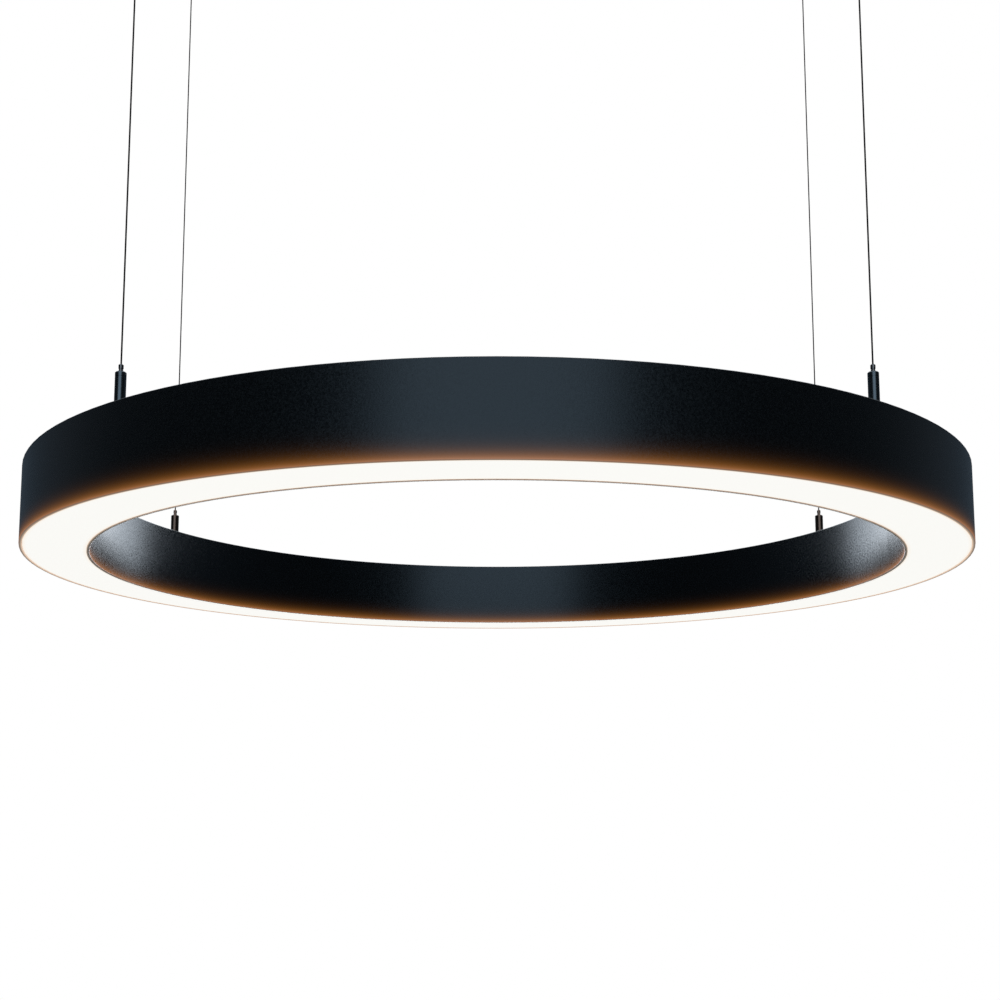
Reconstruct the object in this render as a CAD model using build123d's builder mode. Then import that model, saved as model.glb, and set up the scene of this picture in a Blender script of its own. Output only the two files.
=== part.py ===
from build123d import *
import math
import os

# LED ring chandelier: a round black channel with an opal underside, hung level on four steel wires.
# The origin is on the ring's axis in the ceiling plane, +Z is up and -Y is the front. Sizes are in mm.

# ---- Overall sizes ----
ring_diameter = 1000.0
profile_width = 68.0
profile_height = 80.0
ceiling_drop = 865.0  # from the ceiling to the ring's underside

# ---- Channel ----
band_wall = 3.0
band_edge_radius = 0.8
plate_thickness = 3.0
plate_clearance = 0.1  # between the top plate's rim and a band
ledge_depth = 8.0  # the ledge that carries the top plate
ledge_thickness = 2.5

# ---- Opal diffuser ----
diffuser_thickness = 2.5
diffuser_height = 12.5
diffuser_recess = 0.5  # how far it lies above the bands' lower edges
diffuser_side_gap = 0.4
diffuser_top_gap = 0.3  # to the shoulders that it is pushed up against
shoulder_depth = 3.5
shoulder_thickness = 2.0
clip_count = 12
clip_width = 12.0
clip_thickness = 0.8
clip_upright = 14.0  # how far a clip reaches up the wall
clip_hook = 7.0  # how far its hook reaches down inside the diffuser's rim
clip_clearance = 0.1

# ---- Gear tray and what it carries ----
tray_height = 36.5  # from the ring's underside to the tray's lower face
tray_thickness = 1.5
tray_edge_gap = 1.0  # from the tray to the ledges that it is lowered past
spacer_angles = (15.0, 36.0, 66.0)  # in one quarter, and mirrored to the other three
spacer_edge_inset = 5.0
spacer_across_flats = 5.5
board_count = 6
board_thickness = 1.6
board_joint_gap = 0.6
board_edge_room = 5.0  # between a board's long edge and the spacers' axes
led_count = 15
led_size = 3.0
led_height = 0.8
board_screw_angles = (8.0, 52.0)
connector_length = 12.0
connector_width = 6.0
connector_height = 3.0
driver_width = 30.0
driver_height = 21.0
driver_wall_gap = 3.0  # from the driver to the bands
driver_end_room = 18.0  # so much shorter at each end than the longest that would fit
driver_edge = 1.0
driver_ear = 12.0
driver_ear_thickness = 1.5
driver_screw_inset = 4.0  # from the tray's outer edge, so that the screws pass outside the boards
driver_screw_length = 4.0
feed_length = 10.0
feed_width = 8.0
feed_height = 8.0
feed_window_gap = 0.5
feed_joint_angle = 4.0  # from a joint between two boards to the feed connector beside it
lead_radius = 2.0
lead_end_gap = 0.2
terminal_length = 30.0
terminal_width = 17.0
terminal_height = 14.0
terminal_entry_radius = 1.1
terminal_pitch = 5.0
inlet_hole_radius = 6.0
inlet_bore_radius = 3.5
inlet_flange_radius = 8.0
inlet_flange_thickness = 2.0
inlet_flange_edge = 1.0

# ---- Screws, M3 ----
screw_radius = 1.5
screw_clearance = 0.05
screw_head_radius = 2.75
sink_clearance = 0.15
sunk_head_depth = 1.6
pan_head_height = 2.0
plate_screw_count = 12
plate_screw_start = 7.5
plate_screw_length = 5.4
spacer_screw_length = 8.0
tray_screw_length = 6.0
board_screw_length = 4.0
socket_radius = 1.1

# ---- Suspension points: wire, gripper and ceiling fitting ----
front_wire_angle = 47.5  # from the X axis, seen from above
back_wire_angle = 30.3
wire_inset = 20.0  # from the ring's outer face to the wire
wire_diameter = 1.5
raise_travel = 15.0
tail_floor_gap = 2.0  # left between the wire's tail and the tray with the ring raised
stud_diameter = 6.0
stud_length = 14.0
stud_hole_clearance = 0.2
washer_radius = 6.0
washer_thickness = 1.2
nut_across_flats = 10.0
nut_height = 5.0
gripper_diameter = 9.8
gripper_height = 34.0
gripper_wall = 0.9
gripper_chamfer = 0.8
groove_height = 29.4  # where the sleeve's cap begins, above the top plate
groove_width = 0.5
groove_depth = 0.35
wire_bore_clearance = 0.45
spring_seat_height = 3.0
spring_pocket_clearance = 0.55
cone_foot_height = 15.0
cone_top_height = 26.0
ball_height = 20.0
ball_clearance = 0.1
ball_count = 3
nose_diameter = 4.2
nose_bore_clearance = 0.25
nose_hole_clearance = 0.4
nose_foot_height = 15.2
nose_waist_depth = 0.25
nose_waist_height = 3.0
nose_bead_step = 0.1
nose_bead_height = 3.2
nose_tip_height = 0.9
nose_tip_rim = 0.2
nose_travel = 2.5
spring_wire = 0.5
spring_turns = 6
ferrule_radius = 2.5
ferrule_length = 7.0
fitting_radius = 10.0
fitting_flange_thickness = 3.0
fitting_neck_length = 6.0
fitting_screw_radius = 2.25
fitting_sink_radius = 4.5
cap_height = 22.0
cap_wall = 2.0
cap_floor = 3.0
cap_neck_clearance = 0.1
cap_wire_clearance = 0.45
cap_edge_radius = 1.2

# ---- Worked out from the sizes above ----
outer_radius = ring_diameter / 2
inner_radius = outer_radius - profile_width
middle_radius = (outer_radius + inner_radius) / 2
chamber_outer = outer_radius - band_wall
chamber_inner = inner_radius + band_wall
underside_z = -ceiling_drop
top_z = underside_z + profile_height
ledge_z = top_z - plate_thickness
shoulder_z = underside_z + diffuser_recess + diffuser_height + diffuser_top_gap
tray_z = underside_z + tray_height
tray_top_z = tray_z + tray_thickness
tray_outer = chamber_outer - ledge_depth - tray_edge_gap
tray_inner = chamber_inner + ledge_depth + tray_edge_gap
spacer_outer = tray_outer - spacer_edge_inset
spacer_inner = tray_inner + spacer_edge_inset
board_outer = spacer_outer - board_edge_room
board_inner = spacer_inner + board_edge_room
board_z = tray_z - board_thickness
board_step = 360.0 / board_count
screw_hole = screw_radius + screw_clearance
screw_sink = screw_head_radius + sink_clearance
outer_screw_radius = chamber_outer - ledge_depth / 2
inner_screw_radius = chamber_inner + ledge_depth / 2
driver_inner_face = chamber_inner + driver_wall_gap
driver_chord = math.sqrt((chamber_outer - driver_wall_gap) ** 2 - (driver_inner_face + driver_width) ** 2)
driver_half = driver_chord - driver_end_room
driver_body_half = driver_half - driver_ear
driver_y = driver_inner_face + driver_width / 2
lead_z = tray_top_z + driver_ear_thickness + lead_radius + screw_clearance
wire_radius = wire_diameter / 2
wire_ring = outer_radius - wire_inset
tail_z = tray_top_z + tail_floor_gap + raise_travel
gripper_radius = gripper_diameter / 2
nose_radius = nose_diameter / 2
nose_waist_radius = nose_radius - nose_waist_depth
nose_bead_radius = nose_radius + nose_bead_step
cone_foot_radius = gripper_radius - gripper_wall
cone_top_radius = nose_radius + nose_hole_clearance
cone_slope = (cone_foot_radius - cone_top_radius) / (cone_top_height - cone_foot_height)
cone_cosine = math.cos(math.atan(cone_slope))
cone_at_ball = cone_foot_radius - cone_slope * (ball_height - cone_foot_height)
ball_room = (cone_at_ball - wire_radius - ball_clearance) * cone_cosine - ball_clearance
ball_radius = ball_room / (1 + cone_cosine)  # it fills the wedge between the wire and the cone
ball_ring = wire_radius + ball_clearance + ball_radius
cap_bore = fitting_radius - cap_wall
fitting_neck_radius = cap_bore - cap_neck_clearance
ferrule_top_z = ferrule_length + cap_floor - fitting_flange_thickness - cap_height

corners = {
    "front_left": 180.0 + front_wire_angle,
    "front_right": -front_wire_angle,
    "back_left": 180.0 - back_wire_angle,
    "back_right": back_wire_angle,
}


def on_circle(radius, angle):
    """The point at this radius and angle round the ring's axis."""
    return radius * math.cos(math.radians(angle)), radius * math.sin(math.radians(angle))


def upright(x, y, z):
    """A vertical drawing plane through this point: its first axis is +X and its second is up."""
    return Plane(origin=(x, y, z), x_dir=(1, 0, 0), z_dir=(0, -1, 0))


def radial(angle):
    """A vertical drawing plane through the ring's axis: distance from the axis, then height."""
    across, along = on_circle(1, angle)
    return Plane(origin=(0, 0, 0), x_dir=(across, along, 0), z_dir=(along, -across, 0))


def draw(points):
    """Fills a closed outline of straight lines."""
    Polygon(*points, align=None)


def keep(part, name):
    """Labels a finished piece and writes it."""
    part.part.label = name
    export_step(part.part, f"parts/{name}.step")


def band_outline(face, inward):
    """A band's section: its wall, the shoulder over the diffuser and the ledge under the top plate."""
    wall = face + inward * band_wall
    shoulder = wall + inward * shoulder_depth
    ledge = wall + inward * ledge_depth
    return (
        (face, underside_z),
        (wall, underside_z),
        (wall, shoulder_z),
        (shoulder, shoulder_z),
        (shoulder, shoulder_z + shoulder_thickness),
        (wall, shoulder_z + shoulder_thickness),
        (wall, ledge_z - ledge_thickness),
        (ledge, ledge_z - ledge_thickness),
        (ledge, ledge_z),
        (wall, ledge_z),
        (wall, top_z),
        (face, top_z),
    )


spacer_places = []
for quarter_angle, spacer_radius in zip(spacer_angles, (spacer_inner, spacer_outer, spacer_inner)):
    for angle in (quarter_angle, 180 - quarter_angle, 180 + quarter_angle, -quarter_angle):
        spacer_places.append(on_circle(spacer_radius, angle))

board_screw_places = [
    on_circle(middle_radius, board * board_step + angle)
    for board in range(board_count)
    for angle in board_screw_angles
]

driver_screw_x = driver_half - driver_ear / 2
driver_screw_y = math.sqrt((tray_outer - driver_screw_inset) ** 2 - driver_screw_x**2)
driver_screw_places = [
    (x, y) for x in (-driver_screw_x, driver_screw_x) for y in (-driver_screw_y, driver_screw_y)
]

feed_turn = board_step + feed_joint_angle  # both feeds are beyond the drivers' left ends
feed_angles = (180.0 - feed_turn, 180.0 + feed_turn)

os.makedirs("parts", exist_ok=True)

# ---- The channel: two rolled bands with ledges, and the plate that closes the top ----
with BuildPart() as outer_band:
    with BuildSketch(Plane.XZ) as section:
        draw(band_outline(outer_radius, -1))
        fillet(section.vertices().group_by(Axis.X)[-1], radius=band_edge_radius)
    revolve(axis=Axis.Z)
    with Locations((0, 0, ledge_z)):
        with PolarLocations(outer_screw_radius, plate_screw_count, plate_screw_start):
            Hole(screw_hole, depth=ledge_thickness)
keep(outer_band, "outer_band")

with BuildPart() as inner_band:
    with BuildSketch(Plane.XZ) as section:
        draw(band_outline(inner_radius, 1))
        fillet(section.vertices().group_by(Axis.X)[0], radius=band_edge_radius)
    revolve(axis=Axis.Z)
    with Locations((0, 0, ledge_z)):
        with PolarLocations(inner_screw_radius, plate_screw_count, plate_screw_start):
            Hole(screw_hole, depth=ledge_thickness)
keep(inner_band, "inner_band")

with BuildPart() as top_plate:
    with BuildSketch(Plane.XY.offset(ledge_z)):
        Circle(chamber_outer - plate_clearance)
        Circle(chamber_inner + plate_clearance, mode=Mode.SUBTRACT)
        with Locations(*[on_circle(wire_ring, angle) for angle in corners.values()]):
            Circle(stud_diameter / 2 + stud_hole_clearance, mode=Mode.SUBTRACT)
        with Locations((middle_radius, 0)):
            Circle(inlet_hole_radius, mode=Mode.SUBTRACT)
    extrude(amount=plate_thickness)
    with Locations((0, 0, top_z)):
        with PolarLocations(outer_screw_radius, plate_screw_count, plate_screw_start):
            CounterSinkHole(screw_hole, screw_sink, plate_thickness, 90)
        with PolarLocations(inner_screw_radius, plate_screw_count, plate_screw_start):
            CounterSinkHole(screw_hole, screw_sink, plate_thickness, 90)
        with Locations(*spacer_places):
            CounterSinkHole(screw_hole, screw_sink, plate_thickness, 90)
keep(top_plate, "top_plate")

sunk_places = [
    on_circle(radius, plate_screw_start + index * 360.0 / plate_screw_count)
    for radius in (outer_screw_radius, inner_screw_radius)
    for index in range(plate_screw_count)
]
head_up = (Align.CENTER, Align.CENTER, Align.MAX)
with BuildPart() as plate_screws:
    for places, length in ((sunk_places, plate_screw_length), (spacer_places, spacer_screw_length)):
        with Locations((0, 0, top_z)):
            with Locations(*places):
                Cylinder(screw_radius, length, align=head_up)
                Cone(screw_radius, screw_head_radius, screw_head_radius - screw_radius, align=head_up)
    with BuildSketch(Plane.XY.offset(top_z)):
        with Locations(*sunk_places, *spacer_places):
            RegularPolygon(socket_radius, 6)
    extrude(amount=-sunk_head_depth, mode=Mode.SUBTRACT)
keep(plate_screws, "plate_screws")

# ---- The opal diffuser and the spring clips that hold its rim ----
diffuser_z = underside_z + diffuser_recess
rim_outer = chamber_outer - diffuser_side_gap
rim_inner = chamber_inner + diffuser_side_gap
with BuildPart() as diffuser:
    with BuildSketch(Plane.XZ):
        draw(
            (
                (rim_inner, diffuser_z),
                (rim_outer, diffuser_z),
                (rim_outer, diffuser_z + diffuser_height),
                (rim_outer - diffuser_thickness, diffuser_z + diffuser_height),
                (rim_outer - diffuser_thickness, diffuser_z + diffuser_thickness),
                (rim_inner + diffuser_thickness, diffuser_z + diffuser_thickness),
                (rim_inner + diffuser_thickness, diffuser_z + diffuser_height),
                (rim_inner, diffuser_z + diffuser_height),
            )
        )
    revolve(axis=Axis.Z)
keep(diffuser, "diffuser")

clip_back = chamber_outer - clip_clearance
clip_foot = shoulder_z + shoulder_thickness
clip_nose = chamber_outer - shoulder_depth - clip_clearance
with BuildPart() as diffuser_clips:
    for index in range(clip_count):
        with BuildSketch(radial(index * 360.0 / clip_count)):
            draw(
                (
                    (clip_back, clip_foot),
                    (clip_back, clip_foot + clip_upright),
                    (clip_back - clip_thickness, clip_foot + clip_upright),
                    (clip_back - clip_thickness, clip_foot + clip_thickness),
                    (clip_nose - clip_thickness, clip_foot + clip_thickness),
                    (clip_nose - clip_thickness, clip_foot - clip_hook),
                    (clip_nose, clip_foot - clip_hook),
                    (clip_nose, clip_foot),
                )
            )
        extrude(amount=clip_width / 2, both=True)
keep(diffuser_clips, "diffuser_clips")

# ---- The gear tray, hung from the top plate on hexagonal spacers ----
with BuildPart() as gear_tray:
    with BuildSketch(Plane.XY.offset(tray_z)):
        Circle(tray_outer)
        Circle(tray_inner, mode=Mode.SUBTRACT)
        with Locations(*spacer_places, *board_screw_places, *driver_screw_places):
            Circle(screw_hole, mode=Mode.SUBTRACT)
        for angle in feed_angles:
            with Locations(Location((*on_circle(middle_radius, angle), 0), angle)):
                Rectangle(feed_width + feed_window_gap, feed_length + feed_window_gap, mode=Mode.SUBTRACT)
    extrude(amount=tray_thickness)
keep(gear_tray, "gear_tray")

with BuildPart() as tray_spacers:
    with BuildSketch(Plane.XY.offset(tray_top_z)):
        with Locations(*spacer_places):
            RegularPolygon(spacer_across_flats / 2, 6, major_radius=False)
            Circle(screw_hole, mode=Mode.SUBTRACT)
    extrude(amount=ledge_z - tray_top_z)
keep(tray_spacers, "tray_spacers")

head_down = (Align.CENTER, Align.CENTER, Align.MAX)
shank_up = (Align.CENTER, Align.CENTER, Align.MIN)
with BuildPart() as tray_screws:
    with Locations((0, 0, tray_z)):
        with Locations(*spacer_places):
            Cylinder(screw_head_radius, pan_head_height, align=head_down)
            Cylinder(screw_radius, tray_screw_length, align=shank_up)
    with BuildSketch(Plane.XY.offset(tray_z - pan_head_height)):
        with Locations(*spacer_places):
            RegularPolygon(socket_radius, 6)
    extrude(amount=pan_head_height / 2, mode=Mode.SUBTRACT)
keep(tray_screws, "tray_screws")

# ---- LED boards under the tray, joined end to end ----
led_step = board_step / led_count
for board in range(board_count):
    start = board * board_step
    joint_angle = math.degrees(board_joint_gap / middle_radius)
    with BuildPart() as led_board:
        with BuildSketch(Plane.XY.offset(board_z)):
            with BuildLine():
                far = CenterArc((0, 0), board_outer, start + joint_angle / 2, board_step - joint_angle)
                near = CenterArc((0, 0), board_inner, start + joint_angle / 2, board_step - joint_angle)
                Line(near @ 0, far @ 0)
                Line(near @ 1, far @ 1)
            make_face()
            with Locations(*[on_circle(middle_radius, start + angle) for angle in board_screw_angles]):
                Circle(screw_hole, mode=Mode.SUBTRACT)
        extrude(amount=board_thickness)
        with Locations((0, 0, board_z)):
            with PolarLocations(middle_radius, led_count, start + led_step / 2, board_step):
                Box(led_size, led_size, led_height, align=head_down)
    keep(led_board, f"led_board_{board + 1}")

with BuildPart() as board_screws:
    with Locations((0, 0, board_z)):
        with Locations(*board_screw_places):
            Cylinder(screw_head_radius, pan_head_height, align=head_down)
            Cylinder(screw_radius, board_screw_length, align=shank_up)
keep(board_screws, "board_screws")

with BuildPart() as board_connectors:
    with Locations((0, 0, board_z)):
        with PolarLocations(middle_radius, board_count):
            Box(connector_width, connector_length, connector_height, align=head_down)
keep(board_connectors, "board_connectors")

# ---- Drivers, terminal block and leads on top of the tray ----
for name, side in (("driver_front", -1), ("driver_back", 1)):
    with BuildPart() as driver:
        with BuildSketch(Plane.XY.offset(tray_top_z)):
            with Locations((0, side * driver_y)):
                Rectangle(2 * driver_half, driver_width)
            with Locations(*driver_screw_places):
                Circle(screw_hole, mode=Mode.SUBTRACT)
        extrude(amount=driver_ear_thickness)
        with BuildSketch(Plane.XY.offset(tray_top_z)):
            with Locations((0, side * driver_y)):
                Rectangle(2 * driver_body_half, driver_width)
        extrude(amount=driver_height)
        chamfer(driver.edges().group_by(Axis.Z)[-1], length=driver_edge)
    keep(driver, name)

with BuildPart() as driver_screws:
    with Locations((0, 0, tray_top_z + driver_ear_thickness)):
        with Locations(*driver_screw_places):
            Cylinder(screw_head_radius, pan_head_height, align=shank_up)
            Cylinder(screw_radius, driver_screw_length, align=head_down)
keep(driver_screws, "driver_screws")

with BuildPart() as feed_connectors:
    for angle in feed_angles:
        with BuildSketch(Plane.XY.offset(tray_z)):
            with Locations(Location((*on_circle(middle_radius, angle), 0), angle)):
                Rectangle(feed_width, feed_length)
        extrude(amount=feed_height + tray_thickness)
keep(feed_connectors, "feed_connectors")

with BuildPart() as terminal_block:
    with Locations((middle_radius, 0, tray_top_z)):
        Box(terminal_width, terminal_length, terminal_height, align=shank_up)
    for entry in (-1, 0, 1):
        with BuildSketch(upright(middle_radius + entry * terminal_pitch, terminal_length / 2, lead_z)):
            Circle(terminal_entry_radius)
        extrude(amount=terminal_length, mode=Mode.SUBTRACT)
keep(terminal_block, "terminal_block")

driver_end_angle = math.degrees(math.acos(driver_body_half / middle_radius))
lead_gap_angle = math.degrees(lead_end_gap / middle_radius)
lead_slant = lead_radius / math.tan(math.radians(driver_end_angle))  # it meets the driver at an angle
lead_driver_angle = driver_end_angle - math.degrees((lead_slant + lead_end_gap) / middle_radius)
terminal_angle = math.degrees(math.asin(terminal_length / 2 / middle_radius))
with BuildPart() as mains_leads:
    for side in (-1, 1):
        with BuildLine(Plane.XY.offset(lead_z)) as route:
            first = side * (terminal_angle + lead_gap_angle)
            CenterArc((0, 0), middle_radius, first, side * lead_driver_angle - first)
        with BuildSketch(Plane(origin=route.line @ 0, z_dir=route.line % 0)):
            Circle(lead_radius)
        sweep(path=route.line)
keep(mains_leads, "mains_leads")

feed_half_angle = math.degrees((feed_length / 2) / middle_radius)
with BuildPart() as led_leads:
    for side in (-1, 1):
        with BuildLine(Plane.XY.offset(lead_z)) as route:
            first = 180.0 + side * lead_driver_angle
            last = 180.0 + side * (feed_turn + feed_half_angle + lead_gap_angle)
            CenterArc((0, 0), middle_radius, first, last - first)
        with BuildSketch(Plane(origin=route.line @ 0, z_dir=route.line % 0)):
            Circle(lead_radius)
        sweep(path=route.line)
keep(led_leads, "led_leads")

with BuildPart() as inlet_grommet:
    groove = inlet_hole_radius - screw_clearance
    with BuildSketch(upright(middle_radius, 0, top_z)):
        draw(
            (
                (inlet_bore_radius, inlet_flange_thickness),
                (inlet_flange_radius - inlet_flange_edge, inlet_flange_thickness),
                (inlet_flange_radius, inlet_flange_thickness - inlet_flange_edge),
                (inlet_flange_radius, 0),
                (groove, 0),
                (groove, -plate_thickness),
                (inlet_flange_radius, -plate_thickness),
                (inlet_flange_radius - inlet_flange_edge, -plate_thickness - inlet_flange_thickness),
                (inlet_bore_radius, -plate_thickness - inlet_flange_thickness),
            )
        )
    revolve(axis=Axis((middle_radius, 0, 0), (0, 0, 1)))
keep(inlet_grommet, "inlet_grommet")

# ---- Gripper: a threaded sleeve whose balls wedge on the wire until the sprung nose is pressed ----
gripper_outline = (
    (wire_radius + wire_bore_clearance, -stud_length),
    (stud_diameter / 2 - gripper_chamfer, -stud_length),
    (stud_diameter / 2, gripper_chamfer - stud_length),
    (stud_diameter / 2, 0),
    (gripper_radius, 0),
    (gripper_radius, groove_height),
    (gripper_radius - groove_depth, groove_height),
    (gripper_radius - groove_depth, groove_height + groove_width),
    (gripper_radius, groove_height + groove_width),
    (gripper_radius, gripper_height - gripper_chamfer),
    (gripper_radius - gripper_chamfer, gripper_height),
    (cone_top_radius, gripper_height),
    (cone_top_radius, cone_top_height),
    (cone_foot_radius, cone_foot_height),
    (nose_radius + spring_pocket_clearance, cone_foot_height),
    (nose_radius + spring_pocket_clearance, spring_seat_height),
    (wire_radius + wire_bore_clearance, spring_seat_height),
)
nose_bore = wire_radius + nose_bore_clearance
waist_foot = gripper_height + nose_travel / 2
bead_foot = gripper_height + nose_waist_height
bead_top = bead_foot + nose_bead_height
nose_outline = (
    (nose_bore, nose_foot_height),
    (nose_radius, nose_foot_height),
    (nose_radius, waist_foot),
    (nose_waist_radius, waist_foot),
    (nose_waist_radius, bead_foot),
    (nose_bead_radius, bead_foot),
    (nose_bead_radius, bead_top),
    (nose_bore + nose_tip_rim, bead_top + nose_tip_height),
    (nose_bore, bead_top + nose_tip_height),
)
spring_radius = nose_radius - spring_wire / 4
spring_room = nose_foot_height - spring_seat_height - spring_wire - 2 * ball_clearance

for name, angle in corners.items():
    x, y = on_circle(wire_ring, angle)
    own_axis = Axis((x, y, 0), (0, 0, 1))

    with BuildPart() as gripper_body:
        with BuildSketch(upright(x, y, top_z)):
            draw(gripper_outline)
        revolve(axis=own_axis)
    keep(gripper_body, f"gripper_body_{name}")

    with BuildPart() as release_nose:
        with BuildSketch(upright(x, y, top_z)):
            draw(nose_outline)
        revolve(axis=own_axis)
        for ball in range(ball_count):
            across, along = on_circle(1, ball * 360.0 / ball_count)
            window = Plane(origin=(x, y, top_z + ball_height), z_dir=(across, along, 0))
            with BuildSketch(window):
                Circle(ball_radius + ball_clearance)
            extrude(amount=2 * nose_radius, mode=Mode.SUBTRACT)
    keep(release_nose, f"release_nose_{name}")

    with BuildPart() as clamp_balls:
        with Locations((x, y, top_z + ball_height)):
            with PolarLocations(ball_ring, ball_count):
                Sphere(ball_radius)
    keep(clamp_balls, f"clamp_balls_{name}")

    with BuildPart() as gripper_spring:
        spring_foot = top_z + spring_seat_height + ball_clearance + spring_wire / 2
        with BuildLine(Plane((x, y, spring_foot))) as coil:
            Helix(spring_room / spring_turns, spring_room, spring_radius)
        with BuildSketch(Plane(origin=coil.line @ 0, z_dir=coil.line % 0)):
            Circle(spring_wire / 2)
        sweep(path=coil.line, is_frenet=True)
    keep(gripper_spring, f"gripper_spring_{name}")

    with BuildPart() as wire:
        with BuildSketch(Plane((x, y, tail_z))):
            Circle(wire_radius)
        extrude(amount=ferrule_top_z - tail_z)
    keep(wire, f"wire_{name}")

    with BuildPart() as wire_ferrule:
        with BuildSketch(Plane((x, y, ferrule_top_z - ferrule_length))):
            Circle(ferrule_radius)
            Circle(wire_radius, mode=Mode.SUBTRACT)
        extrude(amount=ferrule_length)
    keep(wire_ferrule, f"wire_ferrule_{name}")

    # The base is screwed to the ceiling, and the cap that holds the ferrule screws up onto its neck.
    with BuildPart() as ceiling_base:
        with BuildSketch(upright(x, y, 0)):
            sink = fitting_sink_radius - fitting_screw_radius
            neck_end = -fitting_flange_thickness - fitting_neck_length
            draw(
                (
                    (fitting_screw_radius, 0),
                    (fitting_radius, 0),
                    (fitting_radius, -fitting_flange_thickness),
                    (fitting_neck_radius, -fitting_flange_thickness),
                    (fitting_neck_radius, neck_end),
                    (fitting_sink_radius, neck_end),
                    (fitting_screw_radius, neck_end + sink),
                )
            )
        revolve(axis=own_axis)
    keep(ceiling_base, f"ceiling_base_{name}")

    with BuildPart() as ceiling_cap:
        cap_top = -fitting_flange_thickness
        with BuildSketch(upright(x, y, 0)) as section:
            draw(
                (
                    (cap_bore, cap_top),
                    (fitting_radius, cap_top),
                    (fitting_radius, cap_top - cap_height),
                    (wire_radius + cap_wire_clearance, cap_top - cap_height),
                    (wire_radius + cap_wire_clearance, cap_top - cap_height + cap_floor),
                    (cap_bore, cap_top - cap_height + cap_floor),
                )
            )
            lower_rim = section.vertices().group_by(Axis.Y)[0].sort_by(Axis.X)[-1]
            fillet(lower_rim, radius=cap_edge_radius)
        revolve(axis=own_axis)
    keep(ceiling_cap, f"ceiling_cap_{name}")

corner_places = [on_circle(wire_ring, angle) for angle in corners.values()]
stud_hole = stud_diameter / 2 + screw_clearance
with BuildPart() as gripper_washers:
    with BuildSketch(Plane.XY.offset(ledge_z - washer_thickness)):
        with Locations(*corner_places):
            Circle(washer_radius)
            Circle(stud_hole + stud_hole_clearance, mode=Mode.SUBTRACT)
    extrude(amount=washer_thickness)
keep(gripper_washers, "gripper_washers")

with BuildPart() as gripper_nuts:
    with BuildSketch(Plane.XY.offset(ledge_z - washer_thickness - nut_height)):
        with Locations(*corner_places):
            RegularPolygon(nut_across_flats / 2, 6, major_radius=False)
            Circle(stud_hole, mode=Mode.SUBTRACT)
    extrude(amount=nut_height)
keep(gripper_nuts, "gripper_nuts")

print("wire places", {name: [round(v, 3) for v in on_circle(wire_ring, a)] for name, a in corners.items()})
print("wire from", round(tail_z, 3), "to", round(ferrule_top_z, 3), "straight, so it has no bend radius")
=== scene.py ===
# %% [markdown]
# LED ring chandelier. A near-black channel, rolled into a ring of one metre, hangs level on four thin
# steel wires. Its underside is an opal strip that glows warm white. The construction is loaded first as
# a fixed frame: the bands, screws, boards, grippers and fittings are right as they come, so each later
# step gives one part of it its finish, and only the springs and the wires are modelled here.

# %% Load the construction
import math

import bpy
from mathutils import Matrix, Vector


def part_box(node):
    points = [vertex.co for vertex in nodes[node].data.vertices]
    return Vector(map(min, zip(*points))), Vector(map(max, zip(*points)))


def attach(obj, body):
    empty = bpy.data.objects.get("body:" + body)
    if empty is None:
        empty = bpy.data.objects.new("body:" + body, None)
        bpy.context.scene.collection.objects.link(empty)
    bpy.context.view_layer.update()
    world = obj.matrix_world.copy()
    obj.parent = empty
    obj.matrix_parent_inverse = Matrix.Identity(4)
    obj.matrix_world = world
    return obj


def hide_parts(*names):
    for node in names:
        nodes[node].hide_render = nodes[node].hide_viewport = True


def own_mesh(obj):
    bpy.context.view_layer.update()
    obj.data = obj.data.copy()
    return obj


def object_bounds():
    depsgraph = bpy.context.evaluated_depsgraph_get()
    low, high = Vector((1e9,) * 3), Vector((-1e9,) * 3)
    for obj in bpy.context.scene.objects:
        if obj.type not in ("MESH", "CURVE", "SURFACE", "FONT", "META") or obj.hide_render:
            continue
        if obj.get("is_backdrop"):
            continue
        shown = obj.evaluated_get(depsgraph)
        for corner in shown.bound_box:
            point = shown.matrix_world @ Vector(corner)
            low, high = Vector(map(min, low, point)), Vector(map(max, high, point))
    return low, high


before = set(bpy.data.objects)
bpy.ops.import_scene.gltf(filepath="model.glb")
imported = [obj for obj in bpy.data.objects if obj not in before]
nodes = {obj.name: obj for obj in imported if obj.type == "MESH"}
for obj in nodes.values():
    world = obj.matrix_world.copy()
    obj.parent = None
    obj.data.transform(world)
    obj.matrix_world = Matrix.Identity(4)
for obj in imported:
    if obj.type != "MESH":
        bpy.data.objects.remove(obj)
construction_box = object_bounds()
print("nodes", len(nodes), "box", construction_box)

# %% [markdown]
# The sizes that the finishes need are read from the construction itself, so that nothing here drifts
# away from it. The outer band gives the ring's underside, its top face and its outer radius, and the
# inner band's own points give the radius of the hole. Everything is in metres, so a millimetre gets a
# name.

# %% Read the main places
MM = 0.001
CORNERS = ("front_left", "front_right", "back_left", "back_right")
band_low, band_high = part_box("outer_band")
underside = band_low.z
ring_top = band_high.z
outer_radius = band_high.x
inner_radius = min(math.hypot(*point.co.xy) for point in nodes["inner_band"].data.vertices)
middle_radius = (outer_radius + inner_radius) / 2
print("underside", round(underside, 4), "top", round(ring_top, 4))
print("radii", round(inner_radius, 4), round(middle_radius, 4), round(outer_radius, 4))

# %% [markdown]
# The camera looks at the ring from a little below, with an ordinary lens, and the ring lies in the lower
# half of the frame with its wires running out of the top. Part of that is done by tilting the camera up
# and part by shifting the lens. A shift alone would keep the wires upright, but the same shift acts in
# every other view too and would push the ring out of them, so it is kept small.

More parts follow.
